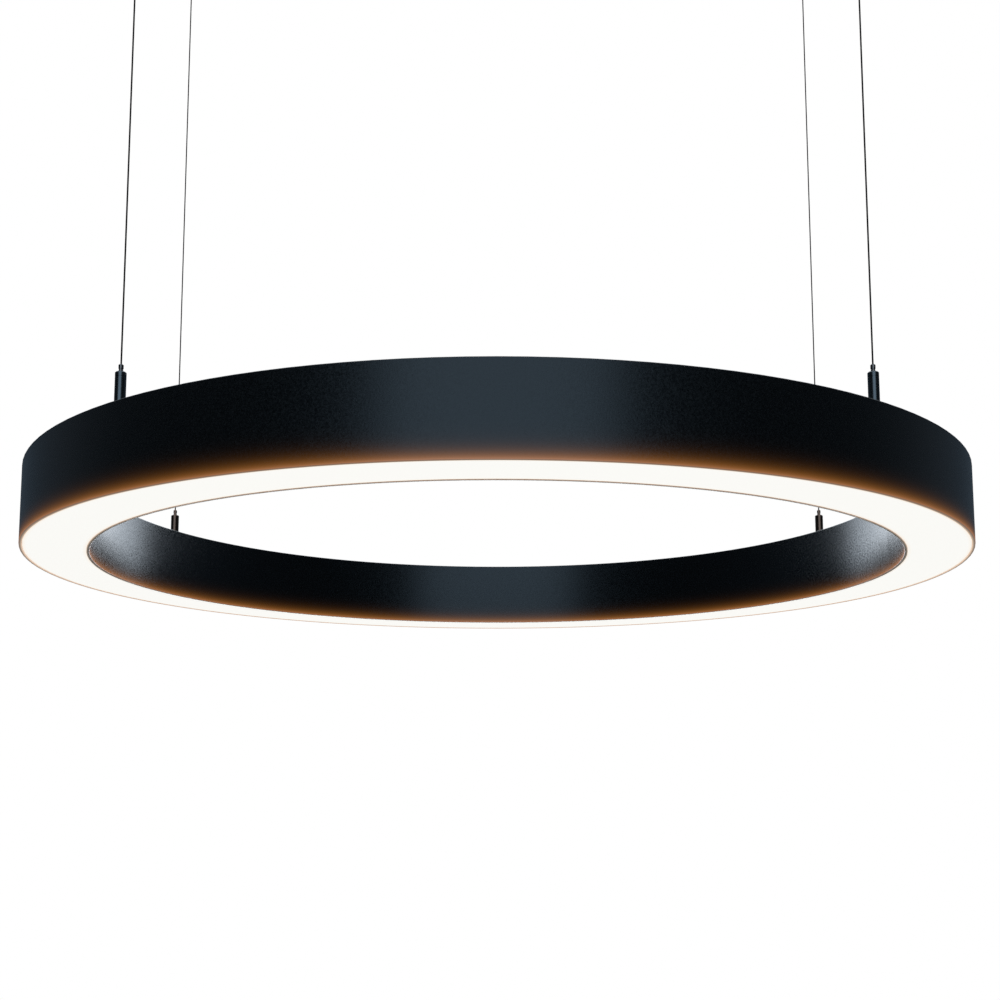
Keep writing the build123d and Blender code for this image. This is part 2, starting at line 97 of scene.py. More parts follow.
# %% Set up the camera
CAMERA_DISTANCE = 1.5125  # in front of the ring's axis
CAMERA_DROP = 0.2566  # below the ring's underside
CAMERA_TILT = 7.62  # degrees above level
LENS_SHIFT = (0.003, 0.12)  # to the right and up, as shares of the sensor's width
camera_data = bpy.data.cameras.new("camera")
camera_data.lens = 50.0
camera_data.sensor_width = 36.0
camera_data.shift_x, camera_data.shift_y = LENS_SHIFT
camera_data.clip_end = 60.0
camera = bpy.data.objects.new("camera", camera_data)
camera.location = (0.0, -CAMERA_DISTANCE, underside - CAMERA_DROP)
camera.rotation_euler = (math.radians(90.0 + CAMERA_TILT), 0.0, 0.0)
bpy.context.scene.collection.objects.link(camera)
bpy.context.scene.camera = camera
print("camera", tuple(round(v, 3) for v in camera.location), "lens", camera_data.lens, "mm")

# %% [markdown]
# Colours are written as sRGB hex values, as a paint chart gives them, and one function turns them to
# the linear numbers that a shader takes. Another adds a node with its settings and its links, which
# keeps each material down to a list of what it is made of. A third puts a finish on construction nodes:
# their shape is already right, so only their material slots are changed.
#
# A Mix node has a pair of inputs for each kind of value, all with the same two names. They are therefore
# given by number: 2 and 3 take plain numbers, 4 and 5 vectors, and 6 and 7 colours. The results follow
# the same order, so output 0 is a number, 1 a vector and 2 a colour.

# %% Colour and node helpers
def linear(hex_colour):
    """An sRGB hex colour such as 1a1b1d as linear red, green, blue and alpha."""
    values = [int(hex_colour[i : i + 2], 16) / 255 for i in (0, 2, 4)]
    return tuple(v / 12.92 if v <= 0.04045 else ((v + 0.055) / 1.055) ** 2.4 for v in values) + (1.0,)


def add_node(tree, kind, settings=None, inputs=None):
    """Adds a node. settings are its attributes; inputs are values, or output sockets to link from."""
    node = tree.nodes.new(kind)
    for name, value in (settings or {}).items():
        setattr(node, name, value)
    for name, value in (inputs or {}).items():
        if isinstance(value, bpy.types.NodeSocket):
            tree.links.new(value, node.inputs[name])
        else:
            node.inputs[name].default_value = value
    return node


def set_stops(ramp, stops):
    """Gives a colour ramp these (position, hex colour) stops."""
    elements = ramp.color_ramp.elements
    while len(elements) < len(stops):
        elements.new(0.5)
    for element, (position, colour) in zip(elements, stops):
        element.position = position
        element.color = linear(colour)


def new_material(name):
    """An empty material: the material, its tree, and the pattern space of the piece itself."""
    material = bpy.data.materials.new(name)
    material.use_nodes = True
    tree = material.node_tree
    tree.nodes.clear()
    return material, tree, add_node(tree, "ShaderNodeTexCoord").outputs["Object"]


def show(tree, shader):
    """Makes this shader the material's surface."""
    add_node(tree, "ShaderNodeOutputMaterial", inputs={"Surface": shader.outputs[0]})


def finish_nodes(material, names):
    """Puts one material on each of these construction nodes."""
    for name in names:
        slots = nodes[name].data.materials
        slots.clear()
        slots.append(material)
    print(material.name, "on", len(names), "nodes")


# %% [markdown]
# The studio is plain: white all round to the eye, with an even, pale light from every side. A black
# satin surface shows little of that light, and mostly mirrors what stands round it. So the studio that
# mirrors in the ring is drawn by compass direction: a broad, cool soft box behind the camera, which
# gives the bright middle of both walls, dark flags beside it, which give the two near-black stretches,
# dim grey behind the ring, and a soft box overhead.

# %% Tell the rays apart
def kinds_of_ray(tree):
    """1 on a mirrored ray, and 1 on a ray straight from the camera or through a clear piece."""
    rays = add_node(tree, "ShaderNodeLightPath")
    straight = add_node(
        tree,
        "ShaderNodeMath",
        {"operation": "MAXIMUM"},
        {0: rays.outputs["Is Camera Ray"], 1: rays.outputs["Is Transmission Ray"]},
    )
    return rays.outputs["Is Glossy Ray"], straight.outputs[0]


# %% Draw the studio as the world
HALF_TURN = 180.0
OVERHEAD_EDGE = 0.42  # how far up a ray points where the soft box overhead begins: 1 is straight up
OVERHEAD_FULL = 0.75
EVEN_STRENGTH = 0.7
MIRRORED_STRENGTH = 1.25
world = bpy.data.worlds.new("white_studio")
world.use_nodes = True
studio = world.node_tree
studio.nodes.clear()
direction = add_node(studio, "ShaderNodeTexCoord")
axes = add_node(studio, "ShaderNodeSeparateXYZ", inputs={"Vector": direction.outputs["Generated"]})
to_front = add_node(
    studio, "ShaderNodeMath", {"operation": "MULTIPLY"}, {0: axes.outputs["Y"], 1: -1.0}
)
turn = add_node(
    studio, "ShaderNodeMath", {"operation": "ARCTAN2"}, {0: axes.outputs["X"], 1: to_front.outputs[0]}
)
either_side = add_node(studio, "ShaderNodeMath", {"operation": "ABSOLUTE"}, {0: turn.outputs[0]})
compass = add_node(
    studio, "ShaderNodeMapRange", inputs={"Value": either_side.outputs[0], "From Max": math.pi}
)
walls = add_node(studio, "ShaderNodeValToRGB", inputs={"Fac": compass.outputs["Result"]})
set_stops(
    walls,
    (
        (0.0, "e6f4ff"),
        (22.5 / HALF_TURN, "e6f4ff"),
        (29.0 / HALF_TURN, "33383c"),
        (60.0 / HALF_TURN, "171a1c"),
        (90.0 / HALF_TURN, "2a2f33"),
        (115.0 / HALF_TURN, "434a51"),
        (140.0 / HALF_TURN, "3a4651"),
        (1.0, "505b65"),
    ),
)
overhead = add_node(
    studio,
    "ShaderNodeMapRange",
    {"interpolation_type": "SMOOTHSTEP"},
    {"Value": axes.outputs["Z"], "From Min": OVERHEAD_EDGE, "From Max": OVERHEAD_FULL},
)
mirrored = add_node(
    studio,
    "ShaderNodeMix",
    {"data_type": "RGBA"},
    {0: overhead.outputs["Result"], 6: walls.outputs["Color"], 7: linear("e8eef2")},
)
even = add_node(
    studio, "ShaderNodeBackground", inputs={"Color": linear("e8ecf0"), "Strength": EVEN_STRENGTH}
)
boxes = add_node(
    studio, "ShaderNodeBackground", inputs={"Color": mirrored.outputs[2], "Strength": MIRRORED_STRENGTH}
)
white = add_node(studio, "ShaderNodeBackground", inputs={"Color": linear("ffffff"), "Strength": 1.0})
on_mirrored, on_straight = kinds_of_ray(studio)
lit = add_node(
    studio, "ShaderNodeMixShader", inputs={0: on_mirrored, 1: even.outputs[0], 2: boxes.outputs[0]}
)
seen = add_node(
    studio, "ShaderNodeMixShader", inputs={0: on_straight, 1: lit.outputs[0], 2: white.outputs[0]}
)
add_node(studio, "ShaderNodeOutputWorld", inputs={"Surface": seen.outputs[0]})
bpy.context.scene.world = world
bpy.context.scene.view_settings.view_transform = "Standard"
print("studio with", len(walls.color_ramp.elements), "shades round it")

# %% [markdown]
# The ends of the inner wall face each other across the ring, and they mirror a pale panel that hangs
# behind it. It is a lamp, only as wide as the highlight needs, and the camera doesn't see it. A light
# link keeps it to the inner band, as a photographer's flag would: seen from a little above, the flat top
# plate would otherwise mirror the whole panel and look white.

# %% Hang the panel behind the ring
PANEL_WIDTH = 1.56
PANEL_HEIGHT = 1.2
PANEL_DISTANCE = 1.4  # behind the ring's axis
PANEL_RISE = 0.35  # from the ring's top to the middle of the panel
PANEL_RADIANCE = 3.5
panel_data = bpy.data.lights.new("panel", "AREA")
panel_data.shape = "RECTANGLE"
panel_data.size = PANEL_WIDTH
panel_data.size_y = PANEL_HEIGHT
panel_data.energy = PANEL_RADIANCE * math.pi * PANEL_WIDTH * PANEL_HEIGHT
panel_data.color = linear("f2f8ff")[:3]
panel = bpy.data.objects.new("panel", panel_data)
panel.location = (0.0, PANEL_DISTANCE, ring_top + PANEL_RISE)
panel.rotation_euler = (math.radians(-90.0), 0.0, 0.0)
panel.visible_camera = False
lit_by_panel = bpy.data.collections.new("lit_by_panel")
lit_by_panel.objects.link(nodes["inner_band"])
panel.light_linking.receiver_collection = lit_by_panel
bpy.context.scene.collection.objects.link(panel)
print("panel", round(panel_data.energy, 1), "W")

# %% [markdown]
# The floor is a plain pale one, well below the ring, as it would be in a room. It lights the ring from
# below as pale grey paint does. To the camera it is the same white as the studio, so that no horizon
# shows, and reflections look through it at the studio, which goes on below it.

# %% Lay the floor
FLOOR_DROP = 1.7  # below the ring's underside
FLOOR_SIZE = 60.0
bpy.ops.mesh.primitive_plane_add(size=FLOOR_SIZE, location=(0.0, 0.0, underside - FLOOR_DROP))
floor = bpy.context.object
floor.name = "floor"
floor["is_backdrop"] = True
floor_paint, tree, _ = new_material("pale_floor_paint")
paint = add_node(tree, "ShaderNodeBsdfDiffuse", inputs={"Color": linear("cfd2d4")})
backdrop = add_node(tree, "ShaderNodeEmission", inputs={"Color": linear("ffffff"), "Strength": 1.0})
clear = add_node(tree, "ShaderNodeBsdfTransparent")
on_mirrored, on_straight = kinds_of_ray(tree)
solid = add_node(
    tree, "ShaderNodeMixShader", inputs={0: on_mirrored, 1: paint.outputs[0], 2: clear.outputs[0]}
)
seen = add_node(
    tree, "ShaderNodeMixShader", inputs={0: on_straight, 1: solid.outputs[0], 2: backdrop.outputs[0]}
)
show(tree, seen)
floor.data.materials.append(floor_paint)
print("floor at", round(underside - FLOOR_DROP, 3))

# %% [markdown]
# The bands and the top plate are aluminium with a black polyester powder coat. The powder melts to a
# satin skin with a fine orange peel, which breaks its reflections up into a faint grain. The real grain
# is about half a millimetre; it is drawn at two, the smallest that shows at this distance. The top plate
# and the bands' top edges are drawn matt: they lie so flat to the eye that a satin face would mirror the
# studio behind them as a white line.
#
# The opal strip's light on the lowest centimetre of both walls and on the lips beside it is painted into
# the coat as emission: a painted glow. On the walls that painted warm edge has two parts: an orange one
# that falls to about a third every four millimetres, and a paler one close to the strip. On the lips it
# falls with the distance from the strip's edge. Each part is a colour times an exponential, which is how
# such a glow dies away.

# %% Work out the strip's painted glow on the bands
# Sizes of the painted glow: how fast each part of it fades, where the strip's edge lies, and the height
# over which the lip's painted glow gives way to the wall's.
WALL_FADE = 4.2 * MM
CLOSE_FADE = 1.2 * MM
LIP_FADE = 1.6 * MM
HALF_STRIP = 31.0 * MM  # from the ring's middle line to the strip's edge
LIP_HEIGHT = 0.6 * MM  # the lip's glow gives way to the wall's over this height


def from_middle_line(tree, place):
    """A point's distance from the ring's middle line, and the same with a minus sign inside it."""
    flat = add_node(
        tree, "ShaderNodeVectorMath", {"operation": "MULTIPLY"}, {0: place, 1: (1.0, 1.0, 0.0)}
    )
    radius = add_node(
        tree, "ShaderNodeVectorMath", {"operation": "LENGTH"}, {0: flat.outputs["Vector"]}
    )
    outwards = add_node(
        tree,
        "ShaderNodeMath",
        {"operation": "SUBTRACT"},
        {0: radius.outputs["Value"], 1: middle_radius},
    )
    away = add_node(tree, "ShaderNodeMath", {"operation": "ABSOLUTE"}, {0: outwards.outputs[0]})
    return away.outputs[0], outwards.outputs[0]


def dying_away(tree, colour, distance, fade):
    """This colour times an exponential that falls to about a third with each fade of distance."""
    share = add_node(tree, "ShaderNodeMath", {"operation": "DIVIDE"}, {0: distance, 1: -fade})
    strength = add_node(tree, "ShaderNodeMath", {"operation": "EXPONENT"}, {0: share.outputs[0]})
    glow = add_node(
        tree,
        "ShaderNodeVectorMath",
        {"operation": "SCALE"},
        {0: linear(colour)[:3], "Scale": strength.outputs[0]},
    )
    return glow.outputs["Vector"]


def painted_strip_glow(tree, place, painted_lip_glow_colour):
    """The strip's light on a band, painted into it as a colour: a painted glow."""
    axes = add_node(tree, "ShaderNodeSeparateXYZ", inputs={"Vector": place})
    height = add_node(
        tree, "ShaderNodeMath", {"operation": "SUBTRACT"}, {0: axes.outputs["Z"], 1: underside}
    )
    # The painted glow on the wall: an orange part, and a paler one close to the strip.
    broad = dying_away(tree, "a66828", height.outputs[0], WALL_FADE)
    close = dying_away(tree, "343f50", height.outputs[0], CLOSE_FADE)
    painted_wall_glow = add_node(tree, "ShaderNodeVectorMath", {"operation": "ADD"}, {0: broad, 1: close})
    away, _ = from_middle_line(tree, place)
    beyond = add_node(tree, "ShaderNodeMath", {"operation": "SUBTRACT"}, {0: away, 1: HALF_STRIP})
    painted_lip_glow = dying_away(tree, painted_lip_glow_colour, beyond.outputs[0], LIP_FADE)
    on_wall = add_node(
        tree, "ShaderNodeMapRange", inputs={"Value": height.outputs[0], "From Max": LIP_HEIGHT}
    )
    glow = add_node(
        tree,
        "ShaderNodeMix",
        {"data_type": "VECTOR"},
        {0: on_wall.outputs["Result"], 4: painted_lip_glow, 5: painted_wall_glow.outputs["Vector"]},
    )
    return glow.outputs[1]


# %% Make the powder coat
GRAIN = 2.0 * MM
PEEL_DEPTH = 0.15 * MM
RIM_DEPTH = 0.15 * MM  # how far below the top face the matt finish ends
RIM_ROUGHNESS = 0.9


def powder_coat(name, painted_lip_glow_colour=None):
    """The coat; the second argument, when given, is the colour of the strip's painted glow at the edge
    beside it, for a band next to the strip.
    """
    material, tree, place = new_material(name)
    grain = add_node(
        tree,
        "ShaderNodeTexNoise",
        inputs={"Vector": place, "Scale": 1 / GRAIN, "Detail": 6.0, "Roughness": 0.75},
    )
    tone = add_node(tree, "ShaderNodeValToRGB", inputs={"Fac": grain.outputs["Fac"]})
    set_stops(tone, ((0.35, "030507"), (0.7, "06090c")))
    satin = add_node(
        tree,
        "ShaderNodeMapRange",
        inputs={
            "Value": grain.outputs["Fac"],
            "From Min": 0.35,
            "From Max": 0.65,
            "To Min": 0.18,
            "To Max": 0.35,
        },
    )
    axes = add_node(tree, "ShaderNodeSeparateXYZ", inputs={"Vector": place})
    on_rim = add_node(
        tree,
        "ShaderNodeMapRange",
        inputs={"Value": axes.outputs["Z"], "From Min": ring_top - RIM_DEPTH, "From Max": ring_top},
    )
    roughness = add_node(
        tree,
        "ShaderNodeMix",
        inputs={0: on_rim.outputs["Result"], 2: satin.outputs["Result"], 3: RIM_ROUGHNESS},
    )
    peel = add_node(
        tree,
        "ShaderNodeBump",
        inputs={"Strength": 0.5, "Distance": PEEL_DEPTH, "Height": grain.outputs["Fac"]},
    )
    coat = add_node(
        tree,
        "ShaderNodeBsdfPrincipled",
        inputs={
            "Base Color": tone.outputs["Color"],
            "Roughness": roughness.outputs[0],
            "IOR": 1.5,
            "Specular Tint": linear("d8eeff"),
            "Normal": peel.outputs["Normal"],
        },
    )
    # On a band beside the strip, the strip's light is painted into the coat as emission: a painted glow.
    if painted_lip_glow_colour:
        tree.links.new(painted_strip_glow(tree, place, painted_lip_glow_colour), coat.inputs["Emission Color"])
        coat.inputs["Emission Strength"].default_value = 1.0
    show(tree, coat)
    return material


# Both bands get the strip's painted glow; the top plate gets none.
finish_nodes(powder_coat("black_powder_coat_outer_painted_glow", "e6c8ac"), ["outer_band"])
finish_nodes(powder_coat("black_powder_coat_inner_painted_glow", "9c8c78"), ["inner_band"])
finish_nodes(powder_coat("black_powder_coat"), ["top_plate"])

# %% [markdown]
# Opal acrylic, extruded with a satin surface. It scatters the light of the diodes behind it so well that
# it reads as one even, warm white band, a little weaker and warmer towards its two edges, where the
# bands stand between it and the diodes.

# %% Make the opal strip
EDGE_SHADE = 4.0 * MM
HAZE = 6.0 * MM
opal, tree, place = new_material("opal_acrylic")
away, _ = from_middle_line(tree, place)
to_edge = add_node(
    tree,
    "ShaderNodeMapRange",
    inputs={"Value": away, "From Min": HALF_STRIP - EDGE_SHADE, "From Max": HALF_STRIP},
)
warmth = add_node(tree, "ShaderNodeValToRGB", inputs={"Fac": to_edge.outputs["Result"]})
set_stops(warmth, ((0.0, "fffdf8"), (1.0, "fff4e6")))
haze = add_node(
    tree, "ShaderNodeTexNoise", inputs={"Vector": place, "Scale": 1 / HAZE, "Detail": 2.0}
)
satin = add_node(
    tree,
    "ShaderNodeMapRange",
    inputs={"Value": haze.outputs["Fac"], "To Min": 0.4, "To Max": 0.5},
)
acrylic = add_node(
    tree,
    "ShaderNodeBsdfPrincipled",
    inputs={
        "Base Color": linear("a09e98"),
        "Roughness": satin.outputs["Result"],
        "IOR": 1.49,
        "Emission Color": warmth.outputs["Color"],
        "Emission Strength": 0.85,
    },
)
show(tree, acrylic)
finish_nodes(opal, ["diffuser"])

# %% [markdown]
# Turned parts. The gripper sleeves are brass, turned on a lathe and chemically blackened, and the small
# noses are brass with a dark nickel plate. A lathe leaves rings round the axis, so the pattern is noise
# that is drawn out flat: close lines in height, and long ones sideways. The back pair of grippers and
# noses, which stands beyond the lit strip as the camera sees it, is painted with a warm cast, a painted
# light from the strip: its colour turns warmer behind the ring's axis.

# %% Make the turned metals
SIDEWAYS_SCALE = 0.1  # the lines are ten times as long as they are high
GROOVE_DEPTH = 0.05 * MM
# Where the painted warm cast begins and where it is full, as distances behind the ring's axis.
PAINTED_CAST_BEGINS = 0.1  # behind the ring's axis, with the front pair well in front of it
PAINTED_CAST_FULL = 0.2  # the back pair stands beyond this
LATHE_SPREAD = 0.08  # how far the roughness swings to either side


def turned_metal(name, colour, painted_cast_colour, roughness, line):
    """line is the spacing of the lathe's lines, in metres; the third colour argument is painted on the
    back pair as a warm cast of the strip's light.
    """
    material, tree, place = new_material(name)
    drawn_out = add_node(
        tree,
        "ShaderNodeMapping",
        inputs={"Vector": place, "Scale": (SIDEWAYS_SCALE, SIDEWAYS_SCALE, 1.0)},
    )
    lines = add_node(
        tree,
        "ShaderNodeTexNoise",
        inputs={"Vector": drawn_out.outputs["Vector"], "Scale": 1 / line, "Detail": 2.0},
    )
    # The painted warm cast: the colour turns warmer behind the ring's axis, as if lit by the strip.
    across = add_node(tree, "ShaderNodeSeparateXYZ", inputs={"Vector": place})
    painted_cast_share = add_node(
        tree,
        "ShaderNodeMapRange",
        inputs={"Value": across.outputs["Y"], "From Min": PAINTED_CAST_BEGINS, "From Max": PAINTED_CAST_FULL},
    )
    tint = add_node(
        tree,
        "ShaderNodeMix",
        {"data_type": "RGBA"},
        {0: painted_cast_share.outputs["Result"], 6: linear(colour), 7: linear(painted_cast_colour)},
    )
    polish = add_node(
        tree,
        "ShaderNodeMapRange",
        inputs={
            "Value": lines.outputs["Fac"],
            "To Min": roughness - LATHE_SPREAD,
            "To Max": roughness + LATHE_SPREAD,
        },
    )
    grooves = add_node(
        tree,
        "ShaderNodeBump",
        inputs={"Strength": 0.15, "Distance": GROOVE_DEPTH, "Height": lines.outputs["Fac"]},
    )
    metal = add_node(
        tree,
        "ShaderNodeBsdfPrincipled",
        inputs={
            "Base Color": tint.outputs[2],
            "Metallic": 1.0,
            "Roughness": polish.outputs["Result"],
            "Normal": grooves.outputs["Normal"],
        },
    )
    show(tree, metal)
    return material


# The second colour of each is the painted warm cast on the back pair.
finish_nodes(
    turned_metal("blackened_brass", "535d64", "65564e", 0.24, 0.4 * MM),
    [f"gripper_body_{c}" for c in CORNERS],
)
finish_nodes(
    turned_metal("dark_nickel", "68696b", "8a7468", 0.24, 0.3 * MM),
    [f"release_nose_{c}" for c in CORNERS],
)

# %% [markdown]
# Plated and bare metals. Zinc plate dries a little cloudy, with a faint shift from blue to yellow over a
# few millimetres. Spring steel and bearing balls are smoother and even, and the soft aluminium of a
# crimp is dulled by the tool that squeezed it. Black oxide is nearly as dark as the coat around it, so
# only its gloss tells the screws apart. One function makes all five, as a metal with clouds in its tint
# and in its polish.

# %% Make the clouded metals
PLATE_SPREAD = 0.07


def clouded_metal(name, cool, warm, roughness, cloud):
    """cloud is the size of the surface's clouds, in metres."""
    material, tree, place = new_material(name)
    clouds = add_node(
        tree, "ShaderNodeTexNoise", inputs={"Vector": place, "Scale": 1 / cloud, "Detail": 4.0}
    )
    tint = add_node(tree, "ShaderNodeValToRGB", inputs={"Fac": clouds.outputs["Fac"]})
    set_stops(tint, ((0.3, cool), (0.7, warm)))
    polish = add_node(
        tree,
        "ShaderNodeMapRange",
        inputs={
            "Value": clouds.outputs["Fac"],
            "To Min": roughness - PLATE_SPREAD,
            "To Max": roughness + PLATE_SPREAD,
        },
    )
    metal = add_node(
        tree,
        "ShaderNodeBsdfPrincipled",
        inputs={
            "Base Color": tint.outputs["Color"],
            "Metallic": 1.0,
            "Roughness": polish.outputs["Result"],
        },
    )
    show(tree, metal)
    return material


finish_nodes(
    clouded_metal("zinc_plated_steel", "b9bfc6", "c4c0b2", 0.3, 3.0 * MM),
    ["tray_spacers", "tray_screws", "board_screws", "driver_screws", "gripper_washers", "gripper_nuts"],
)
spring_steel = clouded_metal("spring_steel", "a9abae", "b4b3b0", 0.22, 8.0 * MM)
finish_nodes(spring_steel, ["diffuser_clips"])
finish_nodes(
    clouded_metal("polished_bearing_steel", "c6c8ca", "cccbc9", 0.12, 10.0 * MM),
    [f"clamp_balls_{c}" for c in CORNERS],
)
finish_nodes(
    clouded_metal("crimped_aluminium", "c8c9cb", "d2d1cd", 0.38, 1.0 * MM),
    [f"wire_ferrule_{c}" for c in CORNERS],
)
finish_nodes(clouded_metal("black_oxide_steel", "16181b", "1d1e20", 0.34, 1.5 * MM), ["plate_screws"])

# %% [markdown]
# Painted metal. The gear tray is aluminium sheet in white lamp enamel, which throws back what light
# reaches it. The ceiling fittings are turned aluminium with a satin black paint that matches the ring.
# Sprayed paint flows before it dries, so both have a low, wide ripple and little else.

# %% Make the paints
DUST = 0.4 * MM
RIPPLE_DEPTH = 0.1 * MM
PAINT_SPREAD = 0.05


def sprayed_paint(name, colour, shade, roughness, ripple):
    """ripple is the width of the paint's flow marks, in metres."""
    material, tree, place = new_material(name)
    flow = add_node(
        tree, "ShaderNodeTexNoise", inputs={"Vector": place, "Scale": 1 / ripple, "Detail": 1.0}
    )
    dust = add_node(
        tree, "ShaderNodeTexNoise", inputs={"Vector": place, "Scale": 1 / DUST, "Detail": 2.0}
    )
    tone = add_node(tree, "ShaderNodeValToRGB", inputs={"Fac": dust.outputs["Fac"]})
    set_stops(tone, ((0.35, shade), (0.6, colour)))
    satin = add_node(
        tree,
        "ShaderNodeMapRange",
        inputs={
            "Value": dust.outputs["Fac"],
            "To Min": roughness - PAINT_SPREAD,
            "To Max": roughness + PAINT_SPREAD,
        },
    )
    skin = add_node(
        tree,
        "ShaderNodeBump",
        inputs={"Strength": 0.1, "Distance": RIPPLE_DEPTH, "Height": flow.outputs["Fac"]},
    )
    paint = add_node(
        tree,
        "ShaderNodeBsdfPrincipled",
        inputs={
            "Base Color": tone.outputs["Color"],
            "Roughness": satin.outputs["Result"],
            "IOR": 1.5,
            "Normal": skin.outputs["Normal"],
        },
    )
    show(tree, paint)
    return material


finish_nodes(sprayed_paint("white_lamp_enamel", "e6e6e3", "dedfdc", 0.45, 2.5 * MM), ["gear_tray"])
finish_nodes(
    sprayed_paint("satin_black_paint", "0e0f11", "090a0b", 0.34, 1.5 * MM),
    [f"{part}_{c}" for c in CORNERS for part in ("ceiling_base", "ceiling_cap")],
)

# %% [markdown]
# Moulded plastics and rubber. A mould that was spark-eroded leaves a fine matt texture of about 0.3 mm
# on nylon connectors and on the drivers' polycarbonate cases. Silicone lead sheath and the rubber
# grommet are softer, and their bloom shows as a slow change of tone.

# %% Make the mouldings
BLOOM = 12.0 * MM
TEXTURE_DEPTH = 0.1 * MM
MOULD_SPREAD = 0.06


def moulded(name, colour, shade, roughness, ior, texture, strength):
    """texture is the spacing of the mould's texture, in metres, and strength how much it shows."""
    material, tree, place = new_material(name)
    spark = add_node(
        tree, "ShaderNodeTexNoise", inputs={"Vector": place, "Scale": 1 / texture, "Detail": 2.0}
    )
    bloom = add_node(
        tree, "ShaderNodeTexNoise", inputs={"Vector": place, "Scale": 1 / BLOOM, "Detail": 2.0}
    )
    tone = add_node(tree, "ShaderNodeValToRGB", inputs={"Fac": bloom.outputs["Fac"]})
    set_stops(tone, ((0.3, shade), (0.7, colour)))
    matt = add_node(
        tree,
        "ShaderNodeMapRange",
        inputs={
            "Value": spark.outputs["Fac"],
            "To Min": roughness - MOULD_SPREAD,
            "To Max": roughness + MOULD_SPREAD,
        },
    )
    relief = add_node(
        tree,
        "ShaderNodeBump",
        inputs={"Strength": strength, "Distance": TEXTURE_DEPTH, "Height": spark.outputs["Fac"]},
    )
    plastic = add_node(
        tree,
        "ShaderNodeBsdfPrincipled",
        inputs={
            "Base Color": tone.outputs["Color"],
            "Roughness": matt.outputs["Result"],
            "IOR": ior,
            "Normal": relief.outputs["Normal"],
        },
    )
    show(tree, plastic)
    return material


finish_nodes(
    moulded("moulded_nylon", "ebe9e0", "e2e0d6", 0.5, 1.53, 0.3 * MM, 0.15),
    ["board_connectors", "feed_connectors", "terminal_block"],
)
finish_nodes(
    moulded("moulded_polycarbonate", "e3e5e6", "dbdddf", 0.48, 1.58, 0.3 * MM, 0.2),
    ["driver_front", "driver_back"],
)
finish_nodes(
    moulded("silicone_sheath", "d9d6cf", "cfccc5", 0.42, 1.41, 0.8 * MM, 0.05),
    ["mains_leads", "led_leads"],
)
finish_nodes(moulded("moulded_rubber", "141414", "0e0e0e", 0.62, 1.52, 0.5 * MM, 0.2), ["inlet_grommet"])

# %% [markdown]
# The diode boards are white-masked glass laminate. Each diode is a three millimetre white package with a
# yellow phosphor window. The diodes stand evenly round the ring, so a window is drawn where the
# remainder of the angle, turned to a length, and the distance from the boards' middle line are both
# small. The copper under the mask runs round in lanes, and the gaps between them show as faint sunk
# lines.

# %% Make the diode boards
DIODES = 90  # round the whole ring
WINDOW = 1.2 * MM  # from a window's middle to its edge
LANE_SPACING = 4.0 * MM  # from the middle of one gap to the middle of the next
GAP_EDGE = 0.6 * MM  # from the middle of a gap to where the mask starts to rise
LANE_EDGE = 0.8 * MM  # and to where it lies on the copper
LANE_HEIGHT = 0.05 * MM
board, tree, place = new_material("white_diode_board")
across = add_node(tree, "ShaderNodeSeparateXYZ", inputs={"Vector": place})
angle = add_node(
    tree, "ShaderNodeMath", {"operation": "ARCTAN2"}, {0: across.outputs["Y"], 1: across.outputs["X"]}
)
pitch = 2 * math.pi / DIODES
step = add_node(tree, "ShaderNodeMath", {"operation": "WRAP"}, {0: angle.outputs[0], 1: pitch, 2: 0.0})
turn = add_node(tree, "ShaderNodeMath", {"operation": "SUBTRACT"}, {0: step.outputs[0], 1: pitch / 2})
sideways = add_node(
    tree, "ShaderNodeMath", {"operation": "MULTIPLY"}, {0: turn.outputs[0], 1: middle_radius}
)
far_out, outwards = from_middle_line(tree, place)
far_side = add_node(tree, "ShaderNodeMath", {"operation": "ABSOLUTE"}, {0: sideways.outputs[0]})
from_diode = add_node(
    tree, "ShaderNodeMath", {"operation": "MAXIMUM"}, {0: far_side.outputs[0], 1: far_out}
)
window = add_node(
    tree, "ShaderNodeMath", {"operation": "LESS_THAN"}, {0: from_diode.outputs[0], 1: WINDOW}
)
from_gap = add_node(
    tree, "ShaderNodeMath", {"operation": "PINGPONG"}, {0: outwards, 1: LANE_SPACING / 2}
)
lane = add_node(
    tree,
    "ShaderNodeMapRange",
    inputs={"Value": from_gap.outputs[0], "From Min": GAP_EDGE, "From Max": LANE_EDGE},
)
tone = add_node(tree, "ShaderNodeValToRGB", inputs={"Fac": lane.outputs["Result"]})
set_stops(tone, ((0.0, "dfe3de"), (1.0, "eceeea")))
face = add_node(
    tree,
    "ShaderNodeMix",
    {"data_type": "RGBA"},
    {0: window.outputs[0], 6: tone.outputs["Color"], 7: linear("e9d348")},
)
steps = add_node(
    tree,
    "ShaderNodeBump",
    inputs={"Strength": 0.3, "Distance": LANE_HEIGHT, "Height": lane.outputs["Result"]},
)
laminate = add_node(
    tree,
    "ShaderNodeBsdfPrincipled",
    inputs={
        "Base Color": face.outputs[2],
        "Roughness": 0.4,
        "IOR": 1.5,
        "Normal": steps.outputs["Normal"],
    },
)
show(tree, laminate)
finish_nodes(board, [f"led_board_{i}" for i in range(1, 7)])

# %% [markdown]
# Below each nose sits a coil spring of half a millimetre wire. It is the one piece that changes its
# length when the nose is pressed, so it is made here and not taken from the construction. A circle, the
# wire's section, is swung round the axis by a Screw modifier that also lifts it by one pitch a turn, and
# its two open ends are then filled.

